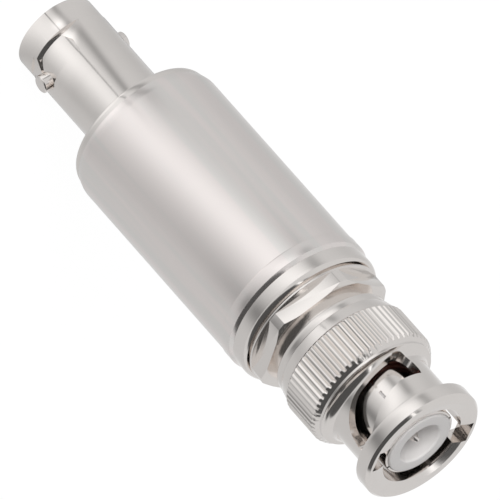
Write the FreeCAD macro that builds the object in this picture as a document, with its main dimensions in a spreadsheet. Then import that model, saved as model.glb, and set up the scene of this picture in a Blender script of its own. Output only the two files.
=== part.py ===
import FreeCAD, Part
import Sketcher
import math
import os

from FreeCAD import Placement, Rotation, Vector

# A coaxial attenuator with a bayonet jack below and a bayonet plug above, on one axis.
# The origin is the centre of the jack's mouth, +Z runs to the plug and +X is the near side.

os.makedirs("parts", exist_ok=True)
doc = FreeCAD.newDocument("attenuator")
sheet = doc.addObject("Spreadsheet::Sheet", "Sizes")

# Driving dimensions in millimetres and degrees
DRIVING = (
    ("jack_reach", 15.05),
    ("jack_radius", 4.825),
    ("jack_collar_inset", 0.055),
    ("jack_collar_length", 2.85),
    ("jack_bore_radius", 4.1),
    ("jack_bore_depth", 8.6),
    ("jack_edge", 0.15),
    ("jack_flange_radius", 6.0),
    ("jack_flange_height", 0.45),
    ("relief_length", 3.4),
    ("relief_depth", 0.425),
    ("relief_flat_depth", 0.475),
    ("relief_flat_angle", 71.7),
    ("stud_radius", 1.0),
    ("stud_tip_radius", 5.5),
    ("stud_height", 4.95),
    ("stud_azimuth", 63.3),
    ("stud_edge", 0.15),
    ("stud_flat_depth", 0.275),
    ("stud_flat_reach", 2.55),
    ("stem_radius", 4.8),
    ("stem_bore_radius", 3.2),
    ("stem_past_nut", 0.2),
    ("stem_nut_width", 11.0),
    ("stem_nut_height", 1.6),
    ("fit_gap", 0.02),
    ("running_gap", 0.05),
    ("stop_gap", 0.02),
    ("tube_radius", 8.78),
    ("tube_lip_rise", 0.09),
    ("tube_lip_length", 1.9),
    ("tube_lip_bevel", 0.46),
    ("tube_lip_inset", 0.27),
    ("tube_length", 27.54),
    ("tube_wall", 1.18),
    ("tube_back_bevel", 0.95),
    ("tube_back_inset", 0.28),
    ("rear_rim_inset", 0.33),
    ("rear_rim_height", 0.95),
    ("rear_face_inset", 0.3),
    ("rear_boss_radius", 6.9),
    ("rear_boss_height", 0.65),
    ("front_rim_inset", 0.25),
    ("front_rim_height", 1.96),
    ("front_face_inset", 0.32),
    ("front_rim_round", 0.75),
    ("cap_web", 2.45),
    ("spigot_length", 3.5),
    ("spigot_wall", 1.18),
    ("seam_inset", 0.45),
    ("seam_height", 0.25),
    ("hex_ring_radius", 8.15),
    ("hex_ring_height", 0.25),
    ("hex_width", 14.5),
    ("hex_turned_inset", 0.05),
    ("hex_height", 1.9),
    ("hex_edge", 0.3),
    ("hex_azimuth", 20.0),
    ("stop_radius", 6.0),
    ("stop_height", 1.05),
    ("neck_radius", 5.2),
    ("ring_groove_radius", 4.62),
    ("land_radius", 4.95),
    ("land_height", 2.3),
    ("gasket_height", 1.0),
    ("gasket_radius", 4.85),
    ("nut_length", 16.0),
    ("flange_radius", 7.22),
    ("flange_thickness", 1.9),
    ("flange_edge", 0.3),
    ("flange_back_edge", 0.08),
    ("flange_mouth_radius", 6.0),
    ("flange_mouth_depth", 0.27),
    ("sleeve_bore_radius", 5.0),
    ("sleeve_wall", 0.87),
    ("sleeve_end", 7.0),
    ("sleeve_fillet", 1.18),
    ("ridge_radius", 7.05),
    ("ridge_start", 8.15),
    ("ridge_end", 8.45),
    ("shoulder_inset", 0.2),
    ("shoulder_start", 8.75),
    ("knurl_radius", 7.68),
    ("knurl_start", 9.1),
    ("knurl_end", 13.6),
    ("knurl_depth", 0.27),
    ("knurl_count", 60),
    ("knurl_groove_width", 0.5),
    ("back_band_inset", 0.18),
    ("back_band_taper", 0.36),
    ("back_ring_inset", 0.14),
    ("back_ring_height", 1.0),
    ("back_ring_edge", 0.1),
    ("back_ring_spigot", 0.6),
    ("cavity_radius", 6.3),
    ("cavity_depth", 4.4),
    ("thrust_washer_height", 0.5),
    ("wave_washer_height", 1.4),
    ("wave_washer_metal", 0.25),
    ("wave_count", 3),
    ("ring_height", 0.6),
    ("ring_opening", 4.0),
    ("washer_gap", 0.1),
    ("channel_width", 2.6),
    ("channel_radius", 6.5),
    ("lock_azimuth", 44.0),
    ("twist", 90.0),
    ("slot_end_azimuth", 58.6),
    ("slot_back", 8.0),
    ("slot_front", 5.0),
    ("ferrule_tip", 0.74),
    ("ferrule_radius", 4.26),
    ("ferrule_wall", 0.31),
    ("ferrule_edge", 0.1),
    ("ferrule_root", 3.4),
    ("ferrule_slit", 0.3),
    ("ferrule_slit_length", 5.3),
    ("ferrule_slit_azimuth", 84.0),
    ("plug_cup_radius", 2.48),
    ("plug_cup_depth", 5.6),
    ("plug_insulator_tip", 0.5),
    ("insulator_edge", 0.15),
    ("pin_radius", 0.675),
    ("pin_tip", 0.85),
    ("pin_point", 1.2),
    ("pin_point_radius", 0.24),
    ("pin_point_round", 0.14),
    ("nose_radius", 2.36),
    ("nose_recess", 3.4),
    ("socket_radius", 1.0),
    ("socket_recess", 0.25),
    ("socket_depth", 6.0),
    ("socket_length", 9.4),
    ("socket_slit", 0.25),
    ("socket_slit_length", 4.8),
    ("disc_height", 1.2),
    ("rod_radius", 2.4),
    ("cup_wall", 0.38),
    ("cup_base", 0.6),
    ("cup_grip", 2.4),
    ("cup_stem_radius", 1.2),
    ("ground_wall", 0.68),
)


class Size:
    """A length or angle: its expression in the document, and its value."""

    def __init__(self, text, value):
        self.text = text
        self.value = value

    @staticmethod
    def of(other):
        return other if isinstance(other, Size) else Size(repr(other), other)

    def join(self, sign, other, value):
        return Size("(%s %s %s)" % (self.text, sign, Size.of(other).text), value)

    def __add__(self, other):
        return self.join("+", other, self.value + Size.of(other).value)

    def __sub__(self, other):
        return self.join("-", other, self.value - Size.of(other).value)

    def __mul__(self, other):
        return self.join("*", other, self.value * Size.of(other).value)

    def __truediv__(self, other):
        return self.join("/", other, self.value / Size.of(other).value)


class Sizes:
    """The driving dimensions by name."""


S = Sizes()
for row, (alias, number) in enumerate(DRIVING, start=1):
    sheet.set("A%d" % row, alias)
    sheet.set("B%d" % row, str(number))
    sheet.setAlias("B%d" % row, alias)
    setattr(S, alias, Size("Sizes." + alias, number))
doc.recompute()

# Stations along the axis, from the jack's mouth up
AXIS = Size("0", 0.0)
MOUTH = Size("0", 0.0)
RELIEF_LOW = S.jack_collar_length
REAR_CAP_FACE = S.jack_reach
BOSS_LOW = REAR_CAP_FACE - S.rear_boss_height
JACK_FLANGE_LOW = BOSS_LOW - S.jack_flange_height
TUBE_LOW = REAR_CAP_FACE + S.rear_rim_height
TUBE_TOP = TUBE_LOW + S.tube_length
FRONT_CAP_FACE = TUBE_TOP + S.front_rim_height
RING_LOW = FRONT_CAP_FACE + S.seam_height
HEX_LOW = RING_LOW + S.hex_ring_height
HEX_TOP = HEX_LOW + S.hex_height
NUT_BACK = HEX_TOP + S.stop_height
NUT_FRONT = NUT_BACK + S.nut_length

# Stations of the two caps' inner ends and of the resistor stack between them
REAR_WEB_TOP = REAR_CAP_FACE + S.cap_web
STACK_LOW = TUBE_LOW + S.spigot_length
FRONT_WEB_LOW = FRONT_CAP_FACE - S.cap_web
STACK_TOP = TUBE_TOP - S.spigot_length
REAR_DISC_TOP = STACK_LOW + S.disc_height
FRONT_DISC_LOW = STACK_TOP - S.disc_height
ROD_LOW = REAR_DISC_TOP + S.cup_base
ROD_TOP = FRONT_DISC_LOW - S.cup_base
JACK_STEM_TOP = REAR_WEB_TOP + S.stem_nut_height + S.stem_past_nut
PLUG_STEM_LOW = FRONT_WEB_LOW - S.stem_nut_height - S.stem_past_nut

# Stations inside the coupling nut
BACK_RING_TOP = NUT_BACK + S.back_ring_height
SPIGOT_TOP = BACK_RING_TOP + S.back_ring_spigot
THRUST_TOP = SPIGOT_TOP + S.thrust_washer_height
WAVE_TOP = THRUST_TOP + S.wave_washer_height
RING_TOP = WAVE_TOP + S.ring_height
LAND_TOP = RING_TOP + S.land_height
GASKET_TOP = LAND_TOP + S.gasket_height
CAVITY_TOP = BACK_RING_TOP + S.cavity_depth
CUP_TIP = NUT_FRONT - S.plug_insulator_tip
PIN_TIP = NUT_FRONT - S.pin_tip
FERRULE_TIP = NUT_FRONT - S.ferrule_tip
FERRULE_ROOT = LAND_TOP - S.ferrule_root
SOCKET_LOW = S.nose_recess + S.socket_recess
SOCKET_TOP = SOCKET_LOW + S.socket_length

# Radii that follow from others
TUBE_BORE = S.tube_radius - S.tube_wall
LIP_RADIUS = S.tube_radius + S.tube_lip_rise
REAR_RIM = S.tube_radius - S.rear_rim_inset
REAR_FACE = REAR_RIM - S.rear_face_inset
FRONT_RIM = LIP_RADIUS - S.front_rim_inset
FRONT_FACE = FRONT_RIM - S.front_face_inset
COLLAR_RADIUS = S.jack_radius - S.jack_collar_inset
SEAM_RADIUS = S.hex_ring_radius - S.seam_inset
HEX_TURNED = S.hex_ring_radius - S.hex_turned_inset
SLEEVE_RADIUS = S.sleeve_bore_radius + S.sleeve_wall
SHOULDER_RADIUS = S.knurl_radius - S.shoulder_inset
BAND_RADIUS = S.knurl_radius - S.back_band_inset
BAND_END = BAND_RADIUS - S.back_band_taper
BACK_RING_RADIUS = BAND_END - S.back_ring_inset
STEM_HOLE = S.stem_radius + S.fit_gap
SPIGOT_RADIUS = TUBE_BORE - S.fit_gap
SPIGOT_BORE = SPIGOT_RADIUS - S.spigot_wall
JOURNAL_BORE = S.neck_radius + S.running_gap
WASHER_RADIUS = S.cavity_radius - S.washer_gap
FERRULE_BORE = S.ferrule_radius - S.ferrule_wall
STEM_FILLING = S.stem_bore_radius - S.fit_gap
CONTACT_BORE = S.pin_radius + S.fit_gap
CUP_BORE = S.rod_radius + S.fit_gap
CUP_RADIUS = CUP_BORE + S.cup_wall


def plane(body, role):
    """One of the body's own origin planes or axes."""
    return next(part for part in body.Origin.OriginFeatures if part.Role == role)


def sketch_on(body, name, role, height=None):
    """A sketch on one of the body's planes, lifted to a height."""
    sketch = body.newObject("Sketcher::SketchObject", name)
    sketch.AttachmentSupport = (plane(body, role), [""])
    sketch.MapMode = "FlatFace"
    if height is not None:
        sketch.setExpression("AttachmentOffset.Base.z", height.text)
    return sketch


def pin_point(sketch, element, end, across, up):
    """Hold one end of a sketch element at two sizes from the sketch's origin."""
    for size, kind, axis in ((across, "DistanceX", -2), (up, "DistanceY", -1)):
        if size.value == 0.0:
            sketch.addConstraint(Sketcher.Constraint("PointOnObject", element, end, axis))
        else:
            index = sketch.addConstraint(Sketcher.Constraint(kind, -1, 1, element, end, size.value))
            sketch.setExpression("Constraints[%d]" % index, size.text)


def arc_between(start, end, radius):
    """An arc from start to end; a positive radius bends it to the right of the way it runs."""
    chord = end - start
    half = chord.Length / 2
    side = Vector(-chord.y, chord.x, 0).normalize()
    rise = math.sqrt(max(radius ** 2 - half ** 2, 0.0))
    centre = (start + end) / 2 + side * (rise if radius > 0 else -rise)
    circle = Part.Circle(centre, Vector(0, 0, 1), abs(radius))
    first, last = (start, end) if radius > 0 else (end, start)
    return Part.ArcOfCircle(circle, circle.parameter(first), circle.parameter(last))


def outline(sketch, corners):
    """A closed outline; a corner with a third value starts an arc of that radius."""
    points = [Vector(corner[0].value, corner[1].value, 0) for corner in corners]
    starts = []
    ends = []
    for index, corner in enumerate(corners):
        here = points[index]
        there = points[(index + 1) % len(points)]
        if len(corner) == 3:
            element = sketch.addGeometry(arc_between(here, there, corner[2].value))
            forward = corner[2].value > 0
            starts.append((element, 1 if forward else 2))
            ends.append((element, 2 if forward else 1))
            index = sketch.addConstraint(
                Sketcher.Constraint("Radius", element, abs(corner[2].value)))
            sketch.setExpression("Constraints[%d]" % index, "abs(%s)" % corner[2].text)
        else:
            element = sketch.addGeometry(Part.LineSegment(here, there))
            starts.append((element, 1))
            ends.append((element, 2))
    for index, corner in enumerate(corners):
        sketch.addConstraint(Sketcher.Constraint("Coincident", *ends[index - 1], *starts[index]))
        pin_point(sketch, *starts[index], corner[0], corner[1])


def turned(name, corners):
    """A piece turned about the axis from its half section of radii and heights."""
    body = doc.addObject("PartDesign::Body", name)
    body.Label = name
    sketch = sketch_on(body, name + "_section", "XZ_Plane")
    outline(sketch, corners)
    turn = body.newObject("PartDesign::Revolution", name + "_turn")
    turn.Profile = sketch
    turn.ReferenceAxis = (sketch, ["V_Axis"])
    turn.Angle = 360.0
    sketch.Visibility = False
    doc.recompute()
    return body


def pocket(body, name, corners, top, depth, ring=None):
    """A straight cut down from a height, of an outline or of all outside it up to a ring."""
    before = body.Shape.Volume
    sketch = sketch_on(body, name + "_outline", "XY_Plane", top)
    outline(sketch, corners)
    if ring is not None:
        circle = sketch.addGeometry(Part.Circle(Vector(0, 0, 0), Vector(0, 0, 1), ring.value))
        sketch.addConstraint(Sketcher.Constraint("Coincident", circle, 3, -1, 1))
        index = sketch.addConstraint(Sketcher.Constraint("Radius", circle, ring.value))
        sketch.setExpression("Constraints[%d]" % index, ring.text)
    cut = body.newObject("PartDesign::Pocket", name)
    cut.Profile = sketch
    cut.Type = "Length"
    cut.setExpression("Length", depth.text)
    doc.recompute()
    if not body.Shape.Volume < before:
        raise ValueError(name + " cuts nothing")
    return cut


def repeat(body, feature, count, angle=360.0):
    """Copies of a cut around the axis."""
    pattern = body.newObject("PartDesign::PolarPattern", feature.Name + "_pattern")
    pattern.Originals = [feature]
    pattern.Axis = (plane(body, "Z_Axis"), [""])
    pattern.Angle = angle
    if isinstance(count, Size):
        pattern.setExpression("Occurrences", count.text)
    else:
        pattern.Occurrences = count
    body.Tip = pattern
    doc.recompute()


def hexagon(width):
    """The corners of a hexagon, from its width across flats."""
    half = width / 2
    reach = width / math.sqrt(3)
    return [(reach, AXIS), (reach / 2, half), (reach / -2, half),
            (reach * -1, AXIS), (reach / -2, half * -1), (reach / 2, half * -1)]


def hexagonal(body, name, width, top, height, blank):
    """Six flats on a turned blank."""
    pocket(body, name, hexagon(width), top, height, ring=blank + 1.0)


def cross_slit(body, name, width, reach, top, depth):
    """Four slits down into a tube, by two cuts straight across it."""
    half = width / 2
    far = reach + 0.5
    corners = [(far * -1, half * -1), (far, half * -1), (far, half), (far * -1, half)]
    cut = pocket(body, name, corners, top, depth)
    repeat(body, cut, 2, 90.0)


def turn_to(thing, azimuth):
    """Turn a piece about the axis."""
    thing.setExpression("Placement.Rotation.Angle", azimuth.text)
    thing.Placement = Placement(Vector(0, 0, 0), Vector(0, 0, 1), azimuth.value)


def on_cylinder(radius, azimuth, height):
    """A point at a radius, an azimuth in degrees and a height."""
    angle = math.radians(azimuth)
    return Vector(radius * math.cos(angle), radius * math.sin(angle), height)


def wrapped_edge(radius, points):
    """A smooth edge on a cylinder through points given by azimuth and height."""
    curve = Part.BSplineCurve()
    curve.interpolate([on_cylinder(radius, azimuth, height) for azimuth, height in points])
    return curve.toShape()


def between(first, last, steps=8):
    """Points evenly along a straight line on the unrolled cylinder."""
    return [(first[0] + (last[0] - first[0]) * step / steps,
             first[1] + (last[1] - first[1]) * step / steps) for step in range(steps + 1)]


def wrapped_cutter(runs, inner, outer):
    """A solid with radial walls over an outline on the unrolled cylinder."""
    low = [wrapped_edge(inner, run) for run in runs]
    high = [wrapped_edge(outer, run) for run in runs]
    walls = [Part.makeRuledSurface(a, b) for a, b in zip(low, high)]
    caps = [Part.makeFilledFace(low), Part.makeFilledFace(high)]
    shell = Part.makeShell(walls + caps)
    shell.sewShape()
    solid = Part.makeSolid(Part.makeShell(shell.Faces))
    if solid.Volume < 0:
        solid.reverse()
    return solid


def held(name, shape):
    """A shape made in code, kept in the document."""
    thing = doc.addObject("Part::Feature", name)
    thing.Shape = shape
    return thing


def two_fold(name, shape):
    """A shape and its copy on the far side of the axis, as one tool."""
    copy = shape.copy()
    copy.rotate(Vector(0, 0, 0), Vector(0, 0, 1), 180)
    return held(name, Part.makeCompound([shape, copy]))


def cut_by(name, base, *tools):
    """A piece less its tools."""
    for index, tool in enumerate(tools):
        cut = doc.addObject("Part::Cut", name if tool is tools[-1] else "%s_cut_%d" % (name, index))
        cut.Base = base
        cut.Tool = tool
        base = cut
    doc.recompute()
    return base


# Housing tube, with a proud lip at the plug end and bevels at both seams
def housing_tube():
    lip_low = TUBE_TOP - S.tube_lip_length
    return turned("housing_tube", [
        (TUBE_BORE, TUBE_LOW),
        (S.tube_radius - S.tube_back_inset, TUBE_LOW),
        (S.tube_radius, TUBE_LOW + S.tube_back_bevel),
        (S.tube_radius, lip_low),
        (LIP_RADIUS, lip_low + S.tube_lip_rise),
        (LIP_RADIUS, TUBE_TOP - S.tube_lip_bevel),
        (LIP_RADIUS - S.tube_lip_inset, TUBE_TOP),
        (TUBE_BORE, TUBE_TOP),
    ])


# Cap at the plug end: a rounded rim, a web for the plug's stem and a spigot in the tube
def front_cap():
    return turned("front_cap", [
        (STEM_HOLE, FRONT_WEB_LOW),
        (SPIGOT_BORE, FRONT_WEB_LOW),
        (SPIGOT_BORE, STACK_TOP),
        (SPIGOT_RADIUS, STACK_TOP),
        (SPIGOT_RADIUS, TUBE_TOP),
        (FRONT_RIM, TUBE_TOP),
        (FRONT_RIM, FRONT_CAP_FACE - S.front_rim_round, S.front_rim_round),
        (FRONT_FACE, FRONT_CAP_FACE),
        (STEM_HOLE, FRONT_CAP_FACE),
    ])


# Cap at the jack end: a domed rim, a raised boss and a spigot in the tube
def rear_cap():
    return turned("rear_cap", [
        (STEM_HOLE, BOSS_LOW),
        (S.rear_boss_radius, BOSS_LOW),
        (S.rear_boss_radius, REAR_CAP_FACE),
        (REAR_FACE, REAR_CAP_FACE, S.rear_rim_height),
        (REAR_RIM, TUBE_LOW),
        (SPIGOT_RADIUS, TUBE_LOW),
        (SPIGOT_RADIUS, STACK_LOW),
        (SPIGOT_BORE, STACK_LOW),
        (SPIGOT_BORE, REAR_WEB_TOP),
        (STEM_HOLE, REAR_WEB_TOP),
    ])


# Hexagonal nut inside a cap, which clamps a connector's stem
def stem_nut(name, low):
    rim = SPIGOT_BORE - S.fit_gap
    top = low + S.stem_nut_height
    body = turned(name, [(STEM_HOLE, low), (rim, low), (rim, top), (STEM_HOLE, top)])
    hexagonal(body, name + "_flats", S.stem_nut_width, top, S.stem_nut_height, rim)
    return body


# Shell of the bayonet jack: collar and barrel, a flange on the cap's boss, a stem through it
def jack_body(reliefs):
    blank = turned("jack_blank", [
        (S.jack_bore_radius + S.jack_edge, MOUTH),
        (COLLAR_RADIUS - S.jack_edge, MOUTH),
        (COLLAR_RADIUS, S.jack_edge),
        (COLLAR_RADIUS, RELIEF_LOW),
        (S.jack_radius, RELIEF_LOW),
        (S.jack_radius, JACK_FLANGE_LOW),
        (S.jack_flange_radius, JACK_FLANGE_LOW),
        (S.jack_flange_radius, BOSS_LOW),
        (S.stem_radius, BOSS_LOW),
        (S.stem_radius, JACK_STEM_TOP),
        (S.stem_bore_radius, JACK_STEM_TOP),
        (S.stem_bore_radius, S.jack_bore_depth),
        (S.jack_bore_radius, S.jack_bore_depth),
        (S.jack_bore_radius, S.jack_edge),
    ])
    return cut_by("jack_body", blank, *reliefs)


# Relief's outline: degrees back from the stud, and shares of its length above the collar
RELIEF_EDGE = ((27.0, -0.12), (61.0, -0.12), (74.0, 0.5), (70.0, 1.12), (0.0, 1.12), (3.0, 0.34))


# Relief beside a stud: a sunk band with a cone at the collar and radial walls at its ends
def jack_relief():
    surface = S.jack_radius.value
    depth = S.relief_depth.value
    floor = surface - depth
    over = surface + depth
    low = RELIEF_LOW.value
    height = S.relief_length.value
    collar = COLLAR_RADIUS.value
    foot = Vector(floor, 0, low + collar - floor)
    section = Part.makePolygon([
        foot, Vector(collar, 0, low), Vector(over, 0, low), Vector(over, 0, low + height),
        Vector(floor, 0, low + height), foot])
    band = Part.Face(section).revolve(Vector(0, 0, 0), Vector(0, 0, 1), 360)
    corners = [(S.stud_azimuth.value - back, low + share * height) for back, share in RELIEF_EDGE]
    runs = [between(first, last) for first, last in zip(corners, corners[1:] + corners[:1])]
    return band.common(wrapped_cutter(runs, floor - depth, over + depth))


# Slanted flat that runs out of the relief's far end, from the collar up to the surface
def relief_flat():
    surface = S.jack_radius.value
    low = RELIEF_LOW.value
    top = low + S.relief_length.value
    foot = Vector(surface - S.relief_flat_depth.value, -surface, low)
    section = Part.makePolygon([
        foot, Vector(surface * 2, -surface, low), Vector(surface * 2, -surface, top),
        Vector(surface + S.fit_gap.value, -surface, top), foot])
    flat = Part.Face(section).extrude(Vector(0, surface * 2, 0))
    flat.rotate(Vector(0, 0, 0), Vector(0, 0, 1), S.stud_azimuth.value - S.relief_flat_angle.value)
    return flat


# Small flat that the stud stands on, open through the collar's edge
def stud_flat():
    surface = S.jack_radius.value
    top = S.stud_height.value
    reach = S.stud_flat_reach.value
    flat = Part.makeBox(surface, surface * 2, reach,
                        Vector(surface - S.stud_flat_depth.value, -surface, top - reach))
    flat.rotate(Vector(0, 0, 0), Vector(0, 0, 1), S.stud_azimuth.value)
    return flat


# Bayonet stud, turned with a small edge break and pressed into the jack's wall
def stud_pose(azimuth):
    outward = on_cylinder(1.0, azimuth, 0)
    return Placement(Vector(0, 0, S.stud_height.value), Rotation(Vector(0, 0, 1), outward))


def jack_stud(name, azimuth):
    foot = S.jack_bore_radius + S.fit_gap
    body = turned(name, [
        (AXIS, foot),
        (S.stud_radius, foot),
        (S.stud_radius, S.stud_tip_radius - S.stud_edge),
        (S.stud_radius - S.stud_edge, S.stud_tip_radius),
        (AXIS, S.stud_tip_radius),
    ])
    body.Placement = stud_pose(azimuth)
    body.setExpression("Placement.Base.z", S.stud_height.text)
    return body


def stud_hole(name, azimuth):
    hole = doc.addObject("Part::Cylinder", name)
    hole.setExpression("Radius", S.stud_radius.text)
    hole.setExpression("Height", S.jack_flange_radius.text)
    hole.Placement = stud_pose(azimuth)
    hole.setExpression("Placement.Base.z", S.stud_height.text)
    return hole


# White insulator of the jack, with the slim nose that stands in the mouth
def jack_insulator():
    nose_low = S.nose_recess
    return turned("jack_insulator", [
        (S.socket_radius + S.fit_gap, nose_low),
        (S.nose_radius - S.insulator_edge, nose_low),
        (S.nose_radius, nose_low + S.insulator_edge),
        (S.nose_radius, S.jack_bore_depth),
        (STEM_FILLING, S.jack_bore_depth),
        (STEM_FILLING, JACK_STEM_TOP),
        (CONTACT_BORE, JACK_STEM_TOP),
        (CONTACT_BORE, SOCKET_TOP),
        (S.socket_radius + S.fit_gap, SOCKET_TOP),
    ])


# Slit socket contact of the jack, with a tail into the rear cup
def jack_socket():
    body = turned("jack_socket", [
        (CONTACT_BORE, SOCKET_LOW),
        (S.socket_radius, SOCKET_LOW),
        (S.socket_radius, SOCKET_TOP),
        (S.pin_radius, SOCKET_TOP),
        (S.pin_radius, REAR_DISC_TOP),
        (AXIS, REAR_DISC_TOP),
        (AXIS, SOCKET_LOW + S.socket_depth),
        (CONTACT_BORE, SOCKET_LOW + S.socket_depth),
    ])
    cross_slit(body, "socket_slits", S.socket_slit, S.socket_radius,
               SOCKET_LOW + S.socket_slit_length, S.socket_slit_length)
    return body


# Plug's body: stem, sunk seam, ring and hexagon, stop collar, nut journal and front land
def plug_body():
    body = turned("plug_body", [
        (S.stem_bore_radius, PLUG_STEM_LOW),
        (S.stem_radius, PLUG_STEM_LOW),
        (S.stem_radius, FRONT_CAP_FACE),
        (SEAM_RADIUS, FRONT_CAP_FACE),
        (SEAM_RADIUS, RING_LOW),
        (S.hex_ring_radius, RING_LOW),
        (S.hex_ring_radius, HEX_LOW),
        (HEX_TURNED, HEX_LOW),
        (HEX_TURNED, HEX_TOP - S.hex_edge),
        (HEX_TURNED - S.hex_edge * 2, HEX_TOP),
        (S.stop_radius, HEX_TOP),
        (S.stop_radius, NUT_BACK - S.stop_gap),
        (S.neck_radius, NUT_BACK - S.stop_gap),
        (S.neck_radius, WAVE_TOP),
        (S.ring_groove_radius, WAVE_TOP),
        (S.ring_groove_radius, RING_TOP),
        (S.land_radius, RING_TOP),
        (S.land_radius, LAND_TOP),
        (S.ferrule_radius + S.fit_gap, LAND_TOP),
        (S.ferrule_radius + S.fit_gap, FERRULE_ROOT),
        (S.stem_bore_radius, FERRULE_ROOT),
    ])
    hexagonal(body, "plug_flats", S.hex_width, HEX_TOP, S.hex_height, S.hex_ring_radius)
    turn_to(body, S.hex_azimuth)
    return body


# Outer contact of the plug: a thin tube with four spring slits
def plug_ferrule():
    body = turned("plug_ferrule", [
        (FERRULE_BORE, FERRULE_ROOT),
        (S.ferrule_radius, FERRULE_ROOT),
        (S.ferrule_radius, FERRULE_TIP - S.ferrule_edge),
        (S.ferrule_radius - S.ferrule_edge, FERRULE_TIP),
        (FERRULE_BORE, FERRULE_TIP),
    ])
    cross_slit(body, "ferrule_slits", S.ferrule_slit, S.ferrule_radius,
               FERRULE_TIP, S.ferrule_slit_length)
    turn_to(body, S.ferrule_slit_azimuth)
    return body


# White insulator of the plug, with the open cup that takes the jack's nose
def plug_insulator():
    skirt = FERRULE_BORE - S.fit_gap
    floor = CUP_TIP - S.plug_cup_depth
    return turned("plug_insulator", [
        (CONTACT_BORE, PLUG_STEM_LOW),
        (STEM_FILLING, PLUG_STEM_LOW),
        (STEM_FILLING, FERRULE_ROOT),
        (skirt, FERRULE_ROOT),
        (skirt, CUP_TIP - S.insulator_edge),
        (skirt - S.insulator_edge, CUP_TIP),
        (S.plug_cup_radius + S.insulator_edge, CUP_TIP),
        (S.plug_cup_radius, CUP_TIP - S.insulator_edge),
        (S.plug_cup_radius, floor),
        (CONTACT_BORE, floor),
    ])


# Centre pin of the plug, from its point to the front cup
def plug_pin():
    return turned("plug_pin", [
        (AXIS, FRONT_DISC_LOW),
        (S.pin_radius, FRONT_DISC_LOW),
        (S.pin_radius, PIN_TIP - S.pin_point),
        (S.pin_point_radius, PIN_TIP - S.pin_point_round),
        (AXIS, PIN_TIP),
    ])


# Silicone gasket round the ferrule's root, which a jack's mouth presses on
def plug_gasket():
    inner = S.ferrule_radius + S.fit_gap
    return turned("plug_gasket", [
        (inner, LAND_TOP), (S.gasket_radius, LAND_TOP),
        (S.gasket_radius, GASKET_TOP), (inner, GASKET_TOP)])


# Coupling nut: flange, slotted sleeve, shoulder, knurled grip and the cavity for its spring
def coupling_nut(slots, channels):
    flange_back = NUT_FRONT - S.flange_thickness
    knurl_low = NUT_FRONT - S.knurl_end
    shoulder = NUT_FRONT - S.shoulder_start
    blank = turned("nut_blank", [
        (S.cavity_radius, BACK_RING_TOP),
        (BAND_END, BACK_RING_TOP),
        (BAND_RADIUS, knurl_low),
        (S.knurl_radius, knurl_low + S.back_band_inset),
        (S.knurl_radius, NUT_FRONT - S.knurl_start),
        (SHOULDER_RADIUS, shoulder),
        (S.ridge_radius, NUT_FRONT - S.ridge_end),
        (S.ridge_radius, NUT_FRONT - S.ridge_start, S.sleeve_fillet * -1),
        (SLEEVE_RADIUS, NUT_FRONT - S.sleeve_end),
        (SLEEVE_RADIUS, flange_back),
        (S.flange_radius - S.flange_back_edge, flange_back),
        (S.flange_radius, flange_back + S.flange_back_edge),
        (S.flange_radius, NUT_FRONT - S.flange_edge),
        (S.flange_radius - S.flange_edge, NUT_FRONT),
        (S.flange_mouth_radius, NUT_FRONT),
        (S.sleeve_bore_radius, NUT_FRONT - S.flange_mouth_depth),
        (S.sleeve_bore_radius, CAVITY_TOP),
        (S.cavity_radius, CAVITY_TOP),
    ])
    root = S.knurl_radius - S.knurl_depth
    tip = S.knurl_radius + S.knurl_depth
    groove = pocket(blank, "knurl_groove",
                    [(root, AXIS), (tip, S.knurl_groove_width * -1), (tip, S.knurl_groove_width)],
                    shoulder, S.knurl_end - S.shoulder_start)
    repeat(blank, groove, S.knurl_count)
    return cut_by("coupling_nut", blank, slots, channels)


# Entry channel for a stud, open at the flange's face and into the sleeve's slot
def entry_channel():
    half = S.channel_width.value / 2
    length = S.flange_thickness.value + S.channel_width.value / 2
    front = NUT_FRONT.value
    channel = Part.makeBox(S.channel_radius.value, 2 * half, length,
                           Vector(0, -half, front - length))
    channel.rotate(Vector(0, 0, 0), Vector(0, 0, 1), S.twist.value - S.lock_azimuth.value)
    return channel


# Slot's long edges: degrees back from the lock, and millimetres ahead of the slot's own lines
BACK_EDGE = ((1.5, 0.0), (21.2, 0.34), (43.1, 0.72), (66.8, 1.22), (93.7, 2.84), (102.8, 4.6))
FRONT_EDGE = ((77.2, 2.51), (73.8, 2.36), (39.4, 0.72), (15.6, 0.05))
# Slot's lock end: degrees short of its end, and millimetres ahead of its back line
LOCK_END = ((1.3, 3.0), (0.0, 2.3), (1.6, 1.06), (8.6, 0.15))


# Slot in the sleeve that draws a stud back as the nut turns, with a rounded lock end
def sleeve_slot():
    lock = S.lock_azimuth.value
    end = S.slot_end_azimuth.value
    back_line = S.slot_back.value
    front_line = S.slot_front.value
    mouth = S.flange_thickness.value

    def unrolled(points):
        return [(-azimuth, NUT_FRONT.value - depth) for azimuth, depth in points]

    front_edge = [(lock - back, front_line - ahead) for back, ahead in FRONT_EDGE]
    back_edge = [(lock - back, back_line - ahead) for back, ahead in BACK_EDGE]
    lock_end = [(end - short, back_line - ahead) for short, ahead in LOCK_END]
    lock_end.append(back_edge[0])
    near = (front_edge[0][0], mouth)
    far = (back_edge[-1][0], mouth)
    runs = [
        unrolled(front_edge),
        unrolled(between(front_edge[-1], lock_end[0])),
        unrolled(lock_end),
        unrolled(back_edge),
        unrolled(between(back_edge[-1], far)),
        unrolled(between(far, near)),
        unrolled(between(near, front_edge[0])),
    ]
    inner = (S.land_radius.value + S.ferrule_radius.value) / 2
    outer = S.ridge_radius.value + S.sleeve_fillet.value / 2
    return wrapped_cutter(runs, inner, outer)


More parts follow.
